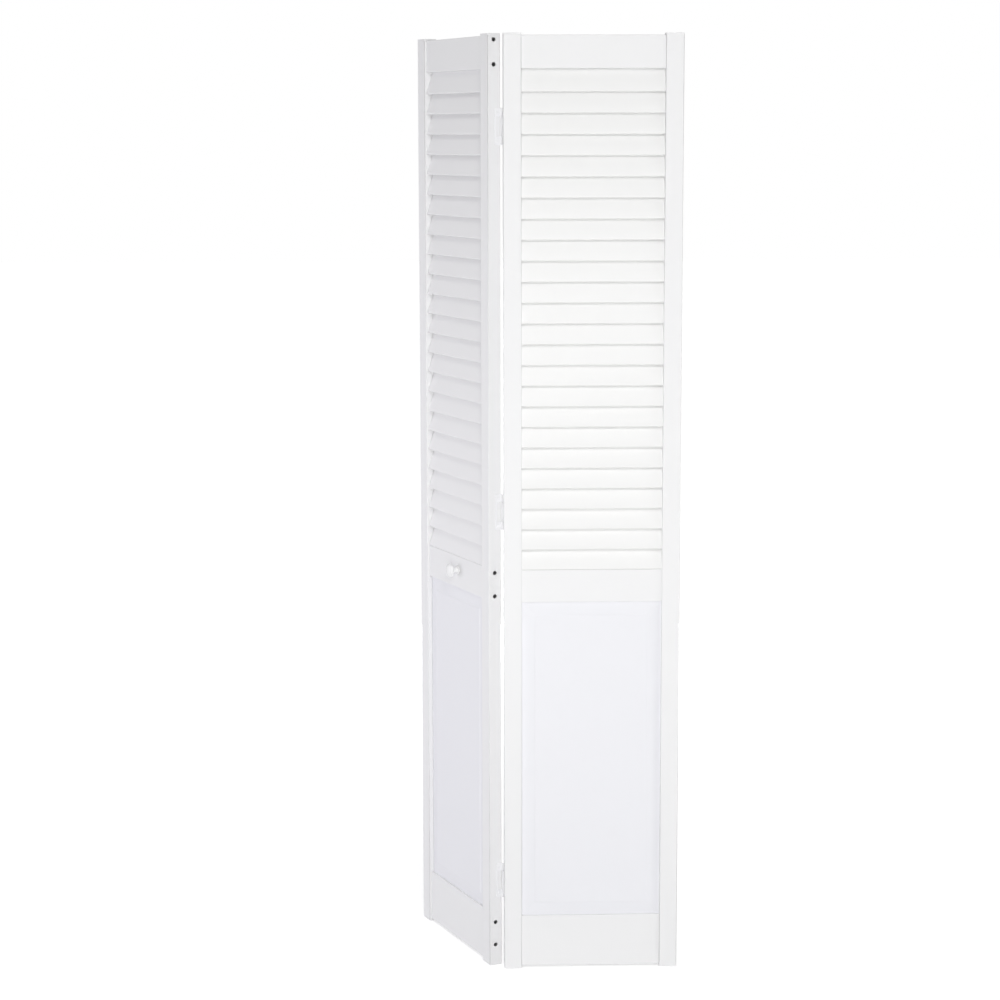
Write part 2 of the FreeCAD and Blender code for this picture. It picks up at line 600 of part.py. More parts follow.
# ---------------------------------------------------------------- knob
def makeKnob(along):
    """Turned mushroom knob, its foot on the lock rail's face, with a blind hole for its screw."""
    body = addBody("knob")
    section = addSketch(body, "knob_section", "XY_Plane")
    spots = [("0", "0"), ("sizes.knob_base_diameter / 2", "0"),
             ("sizes.knob_base_diameter / 2", "sizes.knob_base_height"),
             ("sizes.knob_neck_diameter / 2", "sizes.knob_base_height"),
             ("sizes.knob_neck_diameter / 2", "sizes.knob_neck_end"),
             ("sizes.knob_diameter / 2", "sizes.knob_rim"),
             ("sizes.knob_diameter / 2", "sizes.knob_rim + sizes.knob_rim_height"),
             ("sizes.knob_face_diameter / 2", "sizes.knob_projection"), ("0", "sizes.knob_projection")]
    points = [FreeCAD.Vector(size(x), size(y), 0) for x, y in spots]
    count = len(points)
    section.addGeometry([Part.LineSegment(points[i], points[(i + 1) % count]) for i in range(count)], False)
    for i in range(count):
        section.addConstraint(Sketcher.Constraint("Coincident", i, 2, (i + 1) % count, 1))
    section.addConstraint(Sketcher.Constraint("Coincident", 0, 1, -1, 1))
    for i, (x, y) in enumerate(spots[1:], start=1):
        if x == "0":
            section.addConstraint(Sketcher.Constraint("PointOnObject", i, 1, -2))
        else:
            bind(section, "DistanceX", (-1, 1, i, 1), x)
        if y == "0":
            section.addConstraint(Sketcher.Constraint("PointOnObject", i, 1, -1))
        else:
            bind(section, "DistanceY", (-1, 1, i, 1), y)
    turnedKnob = body.newObject("PartDesign::Revolution", "knob_turned")
    turnedKnob.Profile = section
    turnedKnob.ReferenceAxis = (section, ["V_Axis"])
    turnedKnob.Angle = 360
    body.Tip = turnedKnob
    blind = addSketch(body, "knob_blind", "XZ_Plane")
    addPolygon(blind, knobScrewHole)
    addPocket(body, "knob_blind_cut", blind, "2 * (sizes.knob_screw_grip + 1)")
    seat(body, "lead", along, "-" + railThickness + " / 2", knobHeight)
    body.Placement = body.Placement.multiply(
        FreeCAD.Placement(FreeCAD.Vector(), FreeCAD.Rotation(FreeCAD.Vector(0, 0, 1), 180)))


def makeKnobScrew(along):
    """Machine screw from the back: its low head on the rail, its shank in the knob."""
    shank = prism(holeSides, size("sizes.knob_screw_shank"), 0,
                  size(railThickness) + size("sizes.knob_screw_grip"))
    head = prism(holeSides, size("sizes.knob_screw_head"), -size("sizes.knob_screw_head_height"), 0)
    spot = FreeCAD.Vector(-size(along), size(railThickness) / 2 - size(axisDepth), size(knobHeight))
    makeGroup("knob_screw", "lead", [pointed(head.fuse(shank), spot, FreeCAD.Vector(0, -1, 0))])


# ---------------------------------------------------------------- both leaves
leafMiddle = "(sizes.hinge_gap / 2 + sizes.leaf_width / 2)"
stilePlaces = {
    "hinge": "(sizes.hinge_gap / 2 + sizes.stile_width / 2)",
    "outer": "(sizes.hinge_gap / 2 + sizes.leaf_width - sizes.stile_width / 2)",
}
for leaf, side in sides.items():
    for place, along in stilePlaces.items():
        inward = side if place == "hinge" else -side
        makeStile(leaf, place, along, inward)
        for end in ("bottom", "top"):
            makeCap(leaf, place, end, along, inward)
    makeRail(leaf, "top_rail", "sizes.top_rail_height", leafMiddle)
    makeRail(leaf, "lock_rail", "sizes.lock_rail_height", leafMiddle, "bottom", leaf == "lead")
    makeRail(leaf, "bottom_rail", "sizes.bottom_rail_height", leafMiddle, "top")
    for group in range(int(size("sizes.slat_count / sizes.slats_per_set"))):
        makeSlats(leaf, group, leafMiddle)
    makePanel(leaf, leafMiddle)
    makeRailScrews(leaf)
    makeHingeScrews(leaf)
for place in hingeCentres:
    makeHingePlate(place, True)
    makeHingePlate(place, False)
    makeHingePin(place)
makeKnob("sizes.knob_from_hinge")
makeKnobScrew("sizes.knob_from_hinge")
doc.recompute()

# ---------------------------------------------------------------- checks and files
failed = [item.Name for item in doc.Objects if "Invalid" in item.State or "Error" in item.State]
if failed:
    raise RuntimeError("features that did not build: " + ", ".join(failed))
for part in parts:
    if part.Shape.isNull() or not part.Shape.isValid():
        raise RuntimeError("no sound solid in " + part.Label)
os.makedirs("parts", exist_ok=True)
for part in parts:
    part.Shape.exportStep("parts/" + part.Label + ".step")
    print("%-28s solids %2d  volume %9.1f" % (part.Label, len(part.Shape.Solids), part.Shape.Volume))
print(len(parts), "nodes")
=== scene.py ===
import bpy
import bmesh
import json
import math
from mathutils import Matrix, Vector
from mathutils.geometry import delaunay_2d_cdt


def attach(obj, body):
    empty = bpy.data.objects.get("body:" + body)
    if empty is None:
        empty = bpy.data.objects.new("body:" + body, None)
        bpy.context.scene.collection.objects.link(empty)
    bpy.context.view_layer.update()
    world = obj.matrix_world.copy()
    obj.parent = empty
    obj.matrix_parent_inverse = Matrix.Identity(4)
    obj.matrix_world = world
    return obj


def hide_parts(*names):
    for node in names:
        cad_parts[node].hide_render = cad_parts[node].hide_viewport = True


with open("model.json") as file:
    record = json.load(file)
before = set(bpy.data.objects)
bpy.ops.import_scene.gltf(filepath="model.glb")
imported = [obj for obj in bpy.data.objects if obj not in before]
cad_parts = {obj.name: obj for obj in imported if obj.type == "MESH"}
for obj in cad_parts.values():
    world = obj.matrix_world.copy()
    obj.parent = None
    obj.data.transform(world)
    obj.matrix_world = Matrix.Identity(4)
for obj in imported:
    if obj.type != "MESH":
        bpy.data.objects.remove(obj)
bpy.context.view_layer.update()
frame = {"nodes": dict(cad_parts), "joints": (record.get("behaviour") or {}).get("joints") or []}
print("frame loaded:", len(frame["nodes"]), "nodes")

# the door in metres: a leaf is drawn flat, from the hinge axis outwards, then turned into place
door = {
    "foldAngle": math.radians(67.6),
    "hingeGap": 0.003,
    "axisDepth": 0.01715,
    "height": 2.0,
    "leafWidth": 0.37465,
    "thickness": 0.0286,
    "stileWidth": 0.0381,
    "stileWall": 0.003,
    "capFlange": 0.004,
    "railRecess": 0.005,
}
leaves = {"pivot": 1, "lead": -1}  # which way along X each leaf runs when flat
axisSpot = Vector(frame["joints"][0]["pos_m"])
railLength = door["leafWidth"] - 2 * door["stileWidth"]
leafMiddle = door["hingeGap"] / 2 + door["leafWidth"] / 2
railFace = door["thickness"] / 2 - door["railRecess"]
tiny = 1e-7  # lengths below this count as nothing


def leafMatrix(leaf, along=0.0, depth=0.0, height=0.0):
    turn = -door["foldAngle"] if leaf == "lead" else 0.0
    spot = Vector((leaves[leaf] * along, depth - door["axisDepth"], height))
    return (Matrix.Translation(axisSpot) @ Matrix.Rotation(turn, 4, "Z")
            @ Matrix.Translation(spot))


class Wire:  # a socket that can stand in a sum, and that makes any other node of its tree
    def __init__(self, tree, socket=None):
        self.tree, self.socket = tree, socket

    def make(self, kind, settings=None, inputs=None, out=0):
        node = self.tree.nodes.new(kind)
        for name, value in (settings or {}).items():
            setattr(node, name, value)
        for key, value in (inputs or {}).items():
            if isinstance(value, Wire):
                self.tree.links.new(value.socket, node.inputs[key])
            else:
                node.inputs[key].default_value = value
        return Wire(self.tree, node.outputs[out] if len(node.outputs) else None)

    def maths(self, operation, a, b):
        return self.make("ShaderNodeMath", {"operation": operation}, {0: a, 1: b})

    def __add__(self, other): return self.maths("ADD", self, other)
    def __radd__(self, other): return self.maths("ADD", other, self)
    def __sub__(self, other): return self.maths("SUBTRACT", self, other)
    def __rsub__(self, other): return self.maths("SUBTRACT", other, self)
    def __mul__(self, other): return self.maths("MULTIPLY", self, other)
    def __rmul__(self, other): return self.maths("MULTIPLY", other, self)


def blankMaterial(name):
    material = bpy.data.materials.new(name)
    material.use_nodes = True
    material.node_tree.nodes.clear()
    return material, Wire(material.node_tree)


def tint(colour, factor=1.0):
    return tuple(c * factor for c in colour) + (1.0,)


def noise(w, where, scale, detail):
    return w.make("ShaderNodeTexNoise",
                  inputs={"Vector": where, "Scale": scale, "Detail": detail})


def drift(w, factor, tone, wander):  # a colour that wanders a little to both sides of its tone
    return w.make("ShaderNodeMix", {"data_type": "RGBA"},
                  {0: factor, 6: tint(tone, 1 - wander), 7: tint(tone, 1 + wander)}, out=2)


satinPvc = {
    "tone": (0.868, 0.868, 0.872),
    "wander": 0.008,
    "rough": 0.44,
    "roughSpread": 0.08,
    "ior": 1.46,
    "patch": 2.6,  # broad clouds, and their share of the colour's drift
    "patchShare": 0.6,
    "line": (160.0, 160.0, 5.0),  # fine marks drawn along the piece
    "lineDepth": 0.00003,
    "peel": 1300.0,  # the moulded skin's grain
    "peelDepth": 0.000012,
}


def pvcFinish(name, turn=0.0, **changes):
    look = dict(satinPvc, **changes)
    material, w = blankMaterial(name)
    where = w.make("ShaderNodeTexCoord", out="Object")
    spun = w.make("ShaderNodeMapping", inputs={"Vector": where, "Rotation": (0, 0, turn)})
    drawn = w.make("ShaderNodeMapping", inputs={"Vector": spun, "Scale": look["line"]})
    patch = noise(w, where, look["patch"], detail=3.0)
    line = noise(w, drawn, scale=1.0, detail=4.0)
    peel = noise(w, where, look["peel"], detail=2.0)
    blend = patch * look["patchShare"] + line * (1 - look["patchShare"])
    rough = look["rough"] + (line * 0.5 + peel * 0.5 - 0.5) * look["roughSpread"]
    ridges = w.make("ShaderNodeBump", inputs={"Height": line, "Distance": look["lineDepth"]})
    skin = w.make("ShaderNodeBump", inputs={
        "Height": peel, "Distance": look["peelDepth"], "Normal": ridges})
    shade = w.make("ShaderNodeBsdfPrincipled", inputs={
        "Base Color": drift(w, blend, look["tone"], look["wander"]), "Roughness": rough,
        "Normal": skin, "IOR": look["ior"]})
    w.make("ShaderNodeOutputMaterial", inputs={"Surface": shade})
    return material


hardwareSteel = {"wander": 0.03, "roughSpread": 0.1, "cloud": 90.0}  # hinges, pins and screws


def metalFinish(name, tone, rough, metallic, brush, depth):
    material, w = blankMaterial(name)
    where = w.make("ShaderNodeTexCoord", out="Object")
    drawn = w.make("ShaderNodeMapping", inputs={"Vector": where, "Scale": brush})
    streak = noise(w, drawn, scale=1.0, detail=5.0)
    cloud = noise(w, where, hardwareSteel["cloud"], detail=2.0)
    bump = w.make("ShaderNodeBump", inputs={"Height": streak, "Distance": depth})
    shade = w.make("ShaderNodeBsdfPrincipled", inputs={
        "Base Color": drift(w, streak * 0.5 + cloud * 0.5, tone, hardwareSteel["wander"]),
        "Roughness": rough + (cloud - 0.5) * hardwareSteel["roughSpread"],
        "Normal": bump, "Metallic": metallic})
    w.make("ShaderNodeOutputMaterial", inputs={"Surface": shade})
    return material


finishes = {
    "upright": pvcFinish("satin pvc, upright"),
    "pivotRail": pvcFinish("satin pvc, rail", line=(5.0, 160.0, 160.0)),
    "leadRail": pvcFinish("satin pvc, turned rail", door["foldAngle"],
                          line=(5.0, 160.0, 160.0)),
    # painted light: both slat tones sit lighter than the frames' tone, standing in for the extra
    # light the upward-facing slats catch; the pivot slats' warm cast and the lead slats' cool cast
    # are each leaf's light tint, painted into the colour
    "pivotSlat": pvcFinish("satin pvc, slat", line=(6.0, 220.0, 220.0), rough=0.4,
                           tone=(0.888, 0.888, 0.882)),
    "leadSlat": pvcFinish("satin pvc, turned slat", door["foldAngle"],
                          line=(6.0, 220.0, 220.0), rough=0.4, tone=(0.888, 0.886, 0.892)),
    "panel": pvcFinish("satin pvc, panel", line=(60.0, 60.0, 60.0), lineDepth=0.00002,
                       tone=(0.855, 0.857, 0.888)),
    "cap": pvcFinish("moulded cap", line=(90.0, 90.0, 90.0), rough=0.48),
    "knob": pvcFinish("glossy knob", rough=0.22, roughSpread=0.05,
                      tone=(0.895, 0.895, 0.895), line=(120.0, 120.0, 120.0),
                      lineDepth=0.00001),
    "hinge": metalFinish("white hinge paint", tone=(0.90, 0.90, 0.915), rough=0.38,
                         metallic=0.0, brush=(300, 300, 300), depth=0.00002),
    "zinc": metalFinish("zinc plate", tone=(0.62, 0.63, 0.64), rough=0.32,
                        metallic=1.0, brush=(900, 900, 120), depth=0.00001),
}
print("finishes made:", len(finishes))


def place(name, mesh, finish, leaf, nodes):
    piece = bpy.data.objects.new(name, mesh)
    bpy.context.scene.collection.objects.link(piece)
    mesh.materials.clear()
    mesh.materials.append(finish)
    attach(piece, leaf + "_leaf")
    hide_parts(*nodes)
    return piece


def smoothed(mesh, angle):
    mesh.polygons.foreach_set("use_smooth", [True] * len(mesh.polygons))
    mesh.set_sharp_from_angle(angle=math.radians(angle))


def meshFrom(work, name, matrix, smooth=None):
    bmesh.ops.recalc_face_normals(work, faces=work.faces)
    bmesh.ops.transform(work, matrix=matrix, verts=work.verts)
    mesh = bpy.data.meshes.new(name)
    work.to_mesh(mesh)
    work.free()
    if smooth:
        smoothed(mesh, smooth)
    return mesh


# caps, rails and hinge plates keep the solid's own mesh and only have their edges eased
easing = {
    "merge": 2e-6,
    "flat": math.radians(1.0),  # triangles that lie flatter than this are one face
    "corner": math.radians(40),  # edges sharper than this are eased
    "smooth": 30,
    "cap": 0.0007,
    "capSegments": 3,
    "rail": 0.0003,
    "plate": 0.00018,
}


def softened(node, finish, leaf, width, segments=2):
    work = bmesh.new()
    work.from_mesh(frame["nodes"][node].data)
    bmesh.ops.remove_doubles(work, verts=work.verts, dist=easing["merge"])
    bmesh.ops.dissolve_limit(work, angle_limit=easing["flat"], verts=work.verts,
                             edges=work.edges)
    corners = [e for e in work.edges
               if e.is_manifold and e.calc_face_angle(0) > easing["corner"]]
    bmesh.ops.bevel(work, geom=corners, offset=width, segments=segments, profile=0.5,
                    affect="EDGES", clamp_overlap=True)
    mesh = meshFrom(work, node + "_skin", Matrix.Identity(4), easing["smooth"])
    piece = place(node + "_skin", mesh, finish, leaf, [node])
    even = piece.modifiers.new("even shading", "WEIGHTED_NORMAL")  # large faces stay flat
    even.keep_sharp = True


def addLoop(work, spots):
    return [work.verts.new(spot) for spot in spots]


def bridge(work, low, high):  # four-sided faces from one loop to the next
    count = len(low)
    for i in range(count):
        j = (i + 1) % count
        work.faces.new([low[i], low[j], high[j], high[i]])


fillScale, fillTolerance = 1000, 1e-5  # flat faces are divided in millimetres


def fill(work, *loops):  # flat face inside the first loop and outside the others, all convex
    verts = [vert for loop in loops for vert in loop]
    owner = [k for k, loop in enumerate(loops) for vert in loop]
    spans = [max(v.co[i] for v in verts) - min(v.co[i] for v in verts) for i in range(3)]
    kept = [i for i in range(3) if i != spans.index(min(spans))]
    spots = [Vector((v.co[kept[0]], v.co[kept[1]])) * fillScale for v in verts]
    edges, start = [], 0
    for loop in loops:
        edges += [(start + i, start + (i + 1) % len(loop)) for i in range(len(loop))]
        start += len(loop)
    made = delaunay_2d_cdt(spots, edges, [], 1, fillTolerance)
    faces, origins = made[2], made[3]
    for face in faces:
        corners = [origins[i][0] for i in face]
        owners = {owner[i] for i in corners}
        if len(owners) > 1 or 0 in owners:  # the rest lie inside a hole
            work.faces.new([verts[i] for i in corners])


def roundedBox(width, height, radius, steps):  # outline round the origin, anticlockwise
    spots = []
    for corner, (sx, sy) in enumerate(((1, 1), (-1, 1), (-1, -1), (1, -1))):
        for i in range(steps + 1):
            a = (corner + i / steps) * math.pi / 2
            spots.append((sx * (width / 2 - radius) + radius * math.cos(a),
                          sy * (height / 2 - radius) + radius * math.sin(a)))
    return spots


def lathe(outline, steps):  # outline of (radius, height), turned about Z
    work = bmesh.new()
    rings = []
    for radius, height in outline:
        turns = [i * math.tau / steps for i in range(steps if radius > tiny else 1)]
        rings.append(addLoop(work, [(radius * math.cos(a), radius * math.sin(a), height)
                                    for a in turns]))
    for low, high in zip(rings, rings[1:]):
        for i in range(steps):
            j = (i + 1) % steps
            ring = [low[i % len(low)], low[j % len(low)],
                    high[j % len(high)], high[i % len(high)]]
            face = list(dict.fromkeys(ring))  # a pole counts once
            if len(face) > 2:
                work.faces.new(face)
    return work


def startTree(name, sockets):
    tree = bpy.data.node_groups.new(name, "GeometryNodeTree")
    tree.interface.new_socket("Geometry", in_out="INPUT", socket_type="NodeSocketGeometry")
    for label, kind in sockets:
        tree.interface.new_socket(label, in_out="INPUT", socket_type="NodeSocket" + kind)
    tree.interface.new_socket("Geometry", in_out="OUTPUT", socket_type="NodeSocketGeometry")
    entry = tree.nodes.new("NodeGroupInput")
    given = {socket.name: Wire(tree, socket) for socket in entry.outputs if socket.name}
    return Wire(tree), given


def endTree(w, geometry, material):
    real = w.make("GeometryNodeRealizeInstances", inputs={"Geometry": geometry})
    painted = w.make("GeometryNodeSetMaterial", inputs={"Geometry": real, "Material": material})
    w.make("NodeGroupOutput", inputs={0: painted})
    return w.tree


def grown(tree, mesh, values):  # plain mesh that the tree makes of a starting mesh
    carrier = bpy.data.objects.new(mesh.name + " carrier", mesh)
    bpy.context.scene.collection.objects.link(carrier)
    modifier = carrier.modifiers.new("grow", "NODES")
    modifier.node_group = tree
    for item in tree.interface.items_tree:
        if item.item_type == "SOCKET" and item.in_out == "INPUT" and item.name in values:
            modifier[item.identifier] = values[item.name]
    graph = bpy.context.evaluated_depsgraph_get()
    result = bpy.data.meshes.new_from_object(carrier.evaluated_get(graph), depsgraph=graph)
    bpy.data.objects.remove(carrier)
    return result


# louvre: one tree grows the slats of either leaf
louvre = {
    "count": 24,
    "groups": 8,  # the solids hold the slats in so many nodes per leaf
    "width": 0.049,
    "thickness": 0.005,
    "tilt": math.radians(18.0),
    "edge": 0.0013,
    "edgeSteps": 5,
    "insert": 0.0079,  # how far a slat's end stands in its stile
    "bottom": 0.8783,
    "top": 1.928,
    "gapBelow": -0.0003,  # the lowest slat tucks behind the lock rail
    "smooth": 50,
}
louvre["rise"] = (louvre["width"] * math.cos(louvre["tilt"])
                  + (louvre["thickness"] - 2 * louvre["edge"]) * math.sin(louvre["tilt"]))
louvre["pitch"] = (louvre["top"] - louvre["bottom"] - louvre["gapBelow"]
                   - louvre["rise"]) / (louvre["count"] - 1)
louvre["first"] = louvre["bottom"] + louvre["gapBelow"] + louvre["rise"] / 2


def louvreTree():
    w, given = startTree("louvre slats", [
        ("Count", "Int"), ("Pitch", "Float"), ("First Height", "Float"), ("Width", "Float"),
        ("Thickness", "Float"), ("Tilt", "Float"), ("Length", "Float"), ("Edge", "Float"),
        ("Edge Steps", "Int"), ("Material", "Material")])
    outline = w.make("GeometryNodeCurvePrimitiveQuadrilateral", {"mode": "RECTANGLE"},
                     {"Width": given["Width"], "Height": given["Thickness"]})
    eased = w.make("GeometryNodeFilletCurve", {"mode": "POLY"},
                   {"Curve": outline, "Radius": given["Edge"], "Count": given["Edge Steps"],
                    "Limit Radius": True})
    half = given["Length"] * 0.5
    start = w.make("ShaderNodeCombineXYZ", inputs={"Z": 0.0 - half})
    end = w.make("ShaderNodeCombineXYZ", inputs={"Z": half})
    run = w.make("GeometryNodeCurvePrimitiveLine", {"mode": "POINTS"},
                 {"Start": start, "End": end})
    bar = w.make("GeometryNodeCurveToMesh",
                 inputs={"Curve": run, "Profile Curve": eased, "Fill Caps": True})
    laid = w.make("GeometryNodeTransform",
                  inputs={"Geometry": bar, "Rotation": (0.0, math.pi / 2, 0.0)})
    step = w.make("ShaderNodeCombineXYZ", inputs={"Z": given["Pitch"]})
    first = w.make("ShaderNodeCombineXYZ", inputs={"Z": given["First Height"]})
    stack = w.make("GeometryNodeMeshLine", {"mode": "OFFSET"},
                   {"Count": given["Count"], "Start Location": first, "Offset": step})
    lean = w.make("ShaderNodeCombineXYZ", inputs={"X": 0.0 - given["Tilt"]})
    slats = w.make("GeometryNodeInstanceOnPoints",
                   inputs={"Points": stack, "Instance": laid, "Rotation": lean})
    return endTree(w, slats, given["Material"])


slatTree = louvreTree()
for leaf in leaves:
    finish = finishes[leaf + "Slat"]
    mesh = grown(slatTree, bpy.data.meshes.new(leaf + " louvre"), {
        "Count": louvre["count"], "Pitch": louvre["pitch"], "First Height": louvre["first"],
        "Width": louvre["width"], "Thickness": louvre["thickness"], "Tilt": louvre["tilt"],
        "Length": railLength + 2 * louvre["insert"], "Edge": louvre["edge"],
        "Edge Steps": louvre["edgeSteps"], "Material": finish})
    mesh.transform(leafMatrix(leaf, leafMiddle))
    smoothed(mesh, louvre["smooth"])
    place(leaf + "_louvre", mesh, finish, leaf,
          ["%s_slats_%d" % (leaf, i + 1) for i in range(louvre["groups"])])
print("louvres grown")

# stiles: hollow uprights with slots and a panel groove towards the rails, and with access holes
# for the rail screws in the other wall
stile = {
    "round": 0.0015,
    "steps": 6,
    "hollowRound": 0.0004,
    "hollowSteps": 1,
    "ease": 0.00025,
    "slotRoom": 0.00012,
    "slotSteps": 4,
    "groove": 0.00405,
    "grooveEnds": (0.1130, 0.8127),
    "access": 0.0045,
    "accessSteps": 24,
    "screwHeights": (0.0708, 0.8435, 1.962),
    "screwOffset": 0.0254,
}


def slotSpots(height, grow):
    room = stile["slotRoom"] + grow
    sine, cosine = math.sin(louvre["tilt"]), math.cos(louvre["tilt"])
    outline = roundedBox(louvre["thickness"] + 2 * room, louvre["width"] + 2 * room,
                         louvre["edge"] + room, stile["slotSteps"])
    return [(u * cosine + v * sine, height + v * cosine - u * sine) for u, v in outline]


def grooveSpots(ends, grow):
    half, low, high = stile["groove"] + grow, ends[0] - grow, ends[1] + grow
    return [(-half, low), (half, low), (half, high), (-half, high)]


def accessSpots(height, grow):
    radius, count = stile["access"] + grow, stile["accessSteps"]
    turns = [i * math.tau / count for i in range(count)]
    return [(radius * math.cos(a), height + radius * math.sin(a)) for a in turns]


def stileCuts(inward):  # by side: what cuts the wall, and where
    slots = [(slotSpots, louvre["first"] + i * louvre["pitch"]) for i in range(louvre["count"])]
    holes = [(accessSpots, height + sign * stile["screwOffset"])
             for height in stile["screwHeights"] for sign in (-1, 1)]
    return {inward: slots + [(grooveSpots, stile["grooveEnds"])], -inward: holes}


def makeStile(name, leaf, along, inward):
    work = bmesh.new()
    width, depth, wall = door["stileWidth"], door["thickness"], door["stileWall"]
    ends = (door["capFlange"], door["height"] - door["capFlange"])
    outline = roundedBox(width, depth, stile["round"], stile["steps"])
    hollow = roundedBox(width - 2 * wall, depth - 2 * wall, stile["hollowRound"],
                        stile["hollowSteps"])
    outer = [addLoop(work, [(x, y, z) for x, y in outline]) for z in ends]
    inner = [addLoop(work, [(x, y, z) for x, y in hollow]) for z in ends]
    fill(work, outer[0], inner[0])
    fill(work, outer[1], inner[1])

    def ring(x, spots):
        return addLoop(work, [(x, y, z) for y, z in spots])

    cuts, lips = stileCuts(inward), {1: [], -1: []}
    for skin, reach in ((outer, width / 2), (inner, width / 2 - wall)):
        bottom, top = skin
        for i in range(len(bottom)):
            j = (i + 1) % len(bottom)
            a, b = bottom[i].co, bottom[j].co
            side = 1 if a.x > 0 else -1
            corners = [bottom[i], bottom[j], top[j], top[i]]
            if abs(a.x - b.x) > tiny or abs(a.y - b.y) < depth / 2:
                face = work.faces.new(corners)
                face.smooth = skin is outer and (b - a).length < stile["round"]
                continue
            holes = []  # only the two walls across the leaf are cut
            for spots, spot in cuts[side]:
                if skin is outer:
                    rim = ring(side * reach, spots(spot, stile["ease"]))
                    lip = ring(side * (reach - stile["ease"]), spots(spot, 0.0))
                    lips[side].append(lip)
                    bridge(work, rim, lip)
                else:
                    rim = ring(side * reach, spots(spot, 0.0))
                    bridge(work, lips[side].pop(0), rim)
                holes.append(rim)
            fill(work, corners, *holes)
    mesh = meshFrom(work, name, leafMatrix(leaf, along))
    place(name + "_skin", mesh, finishes["upright"], leaf, [name])


for leaf, side in leaves.items():
    nearStile = door["hingeGap"] / 2 + door["stileWidth"] / 2
    farStile = door["hingeGap"] / 2 + door["leafWidth"] - door["stileWidth"] / 2
    makeStile(leaf + "_hinge_stile", leaf, nearStile, side)
    makeStile(leaf + "_outer_stile", leaf, farStile, -side)
    for node in ("hinge_top_cap", "hinge_bottom_cap", "outer_top_cap", "outer_bottom_cap"):
        softened(leaf + "_" + node, finishes["cap"], leaf, easing["cap"],
                 easing["capSegments"])
    for node in ("top_rail", "lock_rail", "bottom_rail"):
        softened(leaf + "_" + node, finishes[leaf + "Rail"], leaf,
                 easing["rail"])
    screws = frame["nodes"][leaf + "_rail_screws"]
    screws.data.materials.clear()
    screws.data.materials.append(finishes["zinc"])
print("frames built")

# raised panels: a tongue in the grooves, a sloping margin and a flat field, the same on both faces
panel = {
    "bottom": 0.117,
    "top": 0.8087,
    "tongue": 0.004,
    "tongueDepth": 0.0039,
    "border": 0.004,
    "bevel": 0.024,
    "bevelSteps": 12,
    "hollow": 0.12,  # how much faster the margin climbs at its foot
    "field": 0.0073,
    "fieldInset": 0.004,
    "step": 0.0005,
    "ease": 0.0007,
    "easeSteps": 5,
    "smooth": 32,
    "leastRun": 1e-5,
}


def panelOutline():  # (inset from the opening's edge, height above the board's middle)
    foot, crest = panel["tongueDepth"], panel["field"] - panel["step"]
    border, inner = panel["border"], panel["border"] + panel["bevel"]
    spots = [(-panel["tongue"], 0.0), (-panel["tongue"], foot), (border - panel["ease"], foot)]
    for i in range(panel["bevelSteps"]):
        t = (i + 1) / panel["bevelSteps"]
        climb = (1 + panel["hollow"]) * t - panel["hollow"] * t * t
        spots.append((border + panel["bevel"] * t, foot + (crest - foot) * climb))
    for i in range(panel["easeSteps"]):
        a = (i + 1) / panel["easeSteps"] * math.pi / 2
        spots.append((inner + panel["ease"] * (1 - math.cos(a)),
                      crest + panel["step"] * math.sin(a)))
    return spots + [(inner + panel["fieldInset"], panel["field"])]


def makePanel(name, leaf):
    work = bmesh.new()
    front = panelOutline()
    rings = [(inset, -rise) for inset, rise in reversed(front)] + front[1:]
    loops = []
    for inset, rise in rings:
        x = railLength / 2 - inset
        low, high = panel["bottom"] + inset, panel["top"] - inset
        loops.append(addLoop(work, [(-x, -rise, low), (x, -rise, low), (x, -rise, high),
                                    (-x, -rise, high)]))
    for low, high in zip(loops, loops[1:]):
        bridge(work, low, high)
    work.faces.new(loops[0])
    work.faces.new(loops[-1])
    mesh = meshFrom(work, name, leafMatrix(leaf, leafMiddle), panel["smooth"])
    for edge in mesh.edges:  # the four mitres stay crisp
        a, b = (mesh.vertices[i].co for i in edge.vertices)
        run = a - b
        if min(abs(run.z), math.hypot(run.x, run.y)) > panel["leastRun"]:
            edge.use_edge_sharp = True
    place(name, mesh, finishes["panel"], leaf, [leaf + "_panel"])


for leaf in leaves:
    makePanel(leaf + "_raised_panel", leaf)
print("panels made")

knob = {
    "along": 0.178,
    "height": 0.848,
    "base": 0.010,
    "baseHeight": 0.0024,
    "neck": 0.0065,
    "neckEnd": 0.0105,
    "neckSteps": 10,
    "rim": 0.0155,
    "rimHeight": 0.0178,
    "lip": (0.0003, 0.0009),  # how far the neck's flare ends inside and below the rim
    "projection": 0.025,
    "crownSteps": 20,
    "crown": (0.62, 0.9),  # below 1 the head is squarer than a ball
    "foot": [(-0.0004, 0.0), (0.0, 0.0004)],  # from the base's radius and the rail
    "shoulder": [(0.0, -0.0009), (-0.0003, -0.0003), (-0.0009, 0.0)],  # from the base's top
    "root": [(0.0014, 0.0001), (0.0004, 0.0005), (0.0, 0.0015)],  # from the neck
    "steps": 72,
    "smooth": 45,
}


def knobOutline():
    base, top, neck, rim = knob["base"], knob["baseHeight"], knob["neck"], knob["rim"]
    flare = rim - neck - knob["lip"][0]
    rise = knob["rimHeight"] - knob["lip"][1] - knob["neckEnd"]
    crown = knob["projection"] - knob["rimHeight"]
    spots = [(0.0, 0.0)] + [(base + out, up) for out, up in knob["foot"]]
    spots += [(base + out, top + up) for out, up in knob["shoulder"]]
    spots += [(neck + out, top + up) for out, up in knob["root"]]
    for i in range(knob["neckSteps"]):  # the neck flares into the underside of the head
        a = (i + 1) / knob["neckSteps"] * math.pi / 2
        spots.append((neck + flare * (1 - math.cos(a)), knob["neckEnd"] + rise * math.sin(a)))
    for i in range(knob["crownSteps"]):  # flat-crowned head
        a = i / knob["crownSteps"] * math.pi / 2
        spots.append((rim * math.cos(a) ** knob["crown"][0],
                      knob["rimHeight"] + crown * math.sin(a) ** knob["crown"][1]))
    return spots + [(0.0, knob["projection"])]


